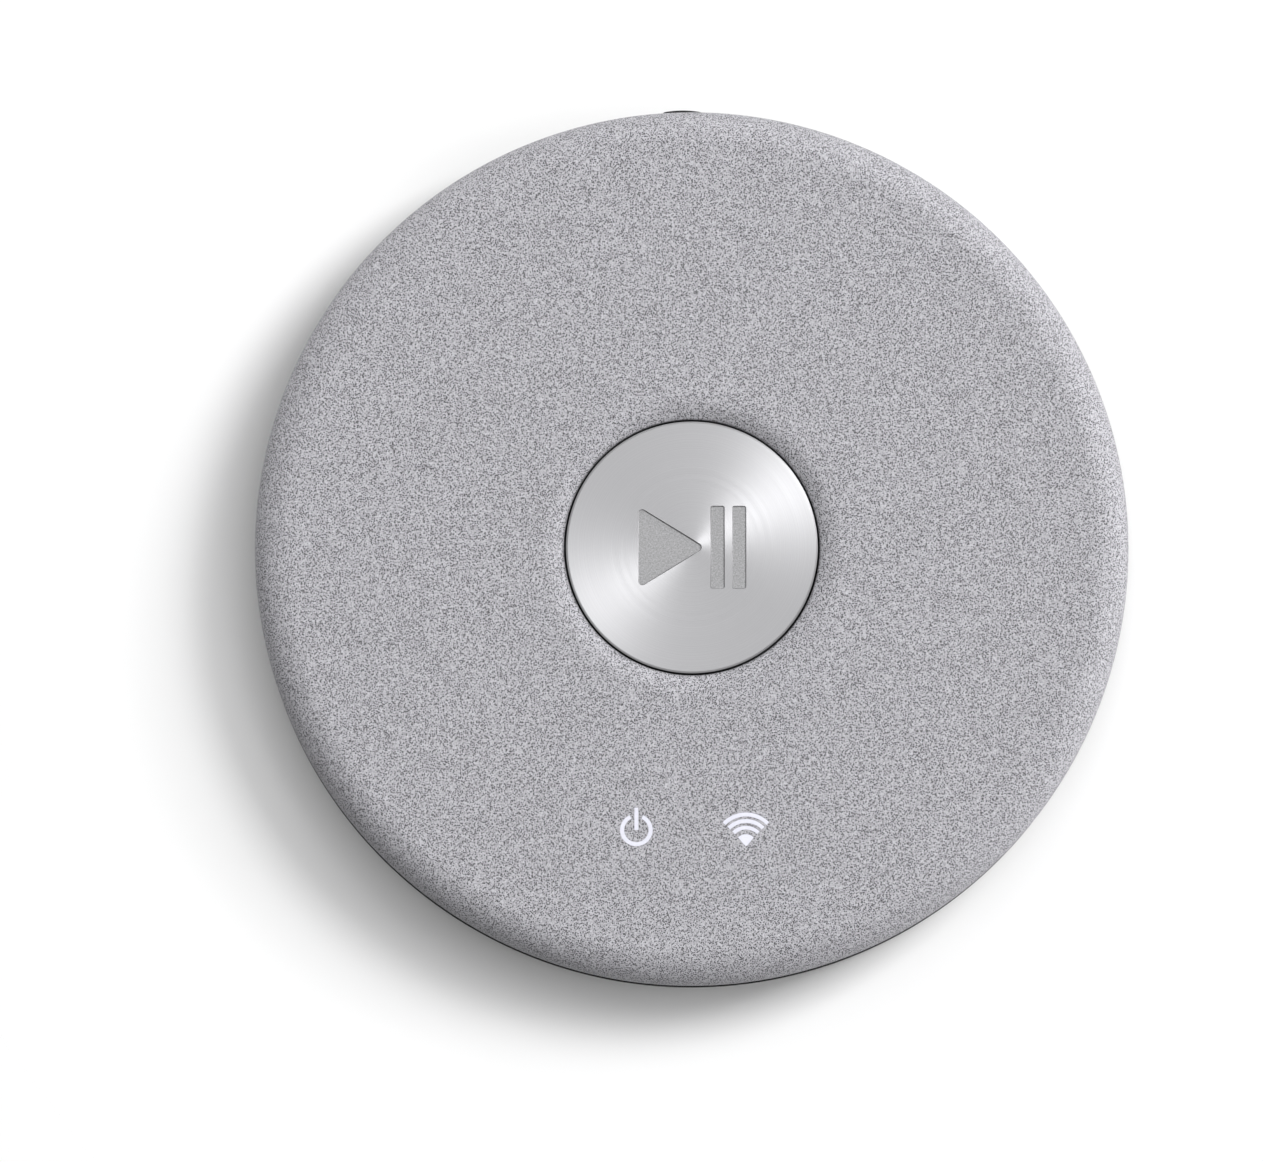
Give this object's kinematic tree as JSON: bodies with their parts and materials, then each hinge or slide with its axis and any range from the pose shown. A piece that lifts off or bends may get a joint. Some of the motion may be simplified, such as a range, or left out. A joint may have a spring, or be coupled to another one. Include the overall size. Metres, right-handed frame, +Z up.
{
  "type": "streaming media player",
  "caption": "Disc-shaped media player: textured shell, spun metal play button in a rolled-edge well, lit power and wireless symbols, recessed rear sockets, power button and rubber foot ring.",
  "frame": {"origin": "centre of the bottom of the bounding box, on the surface the player rests on, practically under the centre of the disc", "axes": "+Z up, +Y towards the rear with the sockets, -Y towards the front edge with the two lit symbols, +X to the right seen from the front"},
  "size_m": [0.12, 0.1204, 0.024],
  "materials": {
    "shell": "fine sand grain, warm mid grey",
    "black_plastic": "fine matte grain",
    "button_black": "satin",
    "connector_black": "smooth moulded",
    "switch_black": "moulded",
    "foot_rubber": "matte",
    "foam_black": "open cell foam",
    "spun_aluminium": "spun, fine concentric lines",
    "heat_sink_aluminium": "anodised clear",
    "can_aluminium": "drawn can",
    "steel": "nickel plated",
    "spring_steel": "drawn wire",
    "light_guide": "lit translucent white",
    "led_white": "phosphor",
    "circuit_board": "green solder mask",
    "chip_black": "moulded epoxy",
    "thermal_gap_pad": "soft silicone",
    "socket_nylon": "natural nylon",
    "ribbon_white": "polyester film",
    "antenna_flex": "printed film",
    "lead_black": "jacketed coax"
  },
  "bodies": {
    "housing": {"top_cover": "shell", "base_cover": "black_plastic", "foot_ring": "foot_rubber", "rear_panel": "black_plastic", "play_switch_body": "switch_black", "button_spring": "spring_steel", "button_frame": "black_plastic", "ui_board": "circuit_board", "power_led": "led_white", "wifi_led": "led_white", "power_light_guide": "light_guide", "wifi_light_guide": "light_guide", "led_shroud": "foam_black", "ui_ribbon_socket": "socket_nylon", "board_ribbon_socket": "socket_nylon", "ui_ribbon": "ribbon_white", "main_board": "circuit_board", "processor": "chip_black", "thermal_pad": "thermal_gap_pad", "heat_sink": "heat_sink_aluminium", "memory_chip_1": "chip_black", "memory_chip_2": "chip_black", "flash_chip": "chip_black", "wifi_module": "circuit_board", "wifi_shield": "steel", "lan_transformer": "chip_black", "power_inductor": "chip_black", "capacitor_1": "can_aluminium", "capacitor_2": "can_aluminium", "antenna_right": "antenna_flex", "antenna_left": "antenna_flex", "antenna_lead_right": "lead_black", "antenna_lead_left": "lead_black", "power_switch_body": "switch_black", "lan_jack": "steel", "hdmi_jack": "steel", "dc_jack": "connector_black", "optical_jack": "connector_black", "case_screw_1": "steel", "board_screw_1": "steel", "case_screw_2": "steel", "board_screw_2": "steel", "case_screw_3": "steel", "board_screw_3": "steel", "case_screw_4": "steel", "board_screw_4": "steel", "frame_screw_1": "steel", "frame_screw_2": "steel", "frame_screw_3": "steel", "ui_board_screw_1": "steel", "ui_board_screw_2": "steel"},
    "play_button": {"play_disc": "spun_aluminium", "disc_adhesive": "foam_black", "button_carrier": "black_plastic", "play_switch_plunger": "switch_black"},
    "power_button": {"power_button_cap": "button_black", "power_switch_plunger": "switch_black"},
    "optical_shutter": {"optical_shutter": "connector_black"}
  },
  "joints": [
    {"name": "play_press", "type": "slide", "parent": "housing", "child": "play_button", "axis": [0, 0, 1], "range_m": [-0.0005, 0], "stiffness_N_per_m": 600, "springref_m": 0.002, "deforming": ["button_spring"]},
    {"name": "power_press", "type": "slide", "parent": "housing", "child": "power_button", "axis": [0, 1, 0], "range_m": [-0.0004, 0], "stiffness_N_per_m": 800, "springref_m": 0.001},
    {"name": "shutter_swing", "type": "hinge", "parent": "housing", "child": "optical_shutter", "pos_m": [0.0275, 0.0464, 0.0145], "axis": [-1, 0, 0], "range_deg": [0, 80], "stiffness_Nm_per_rad": 0.0005, "springref_deg": -28.65}
  ]
}
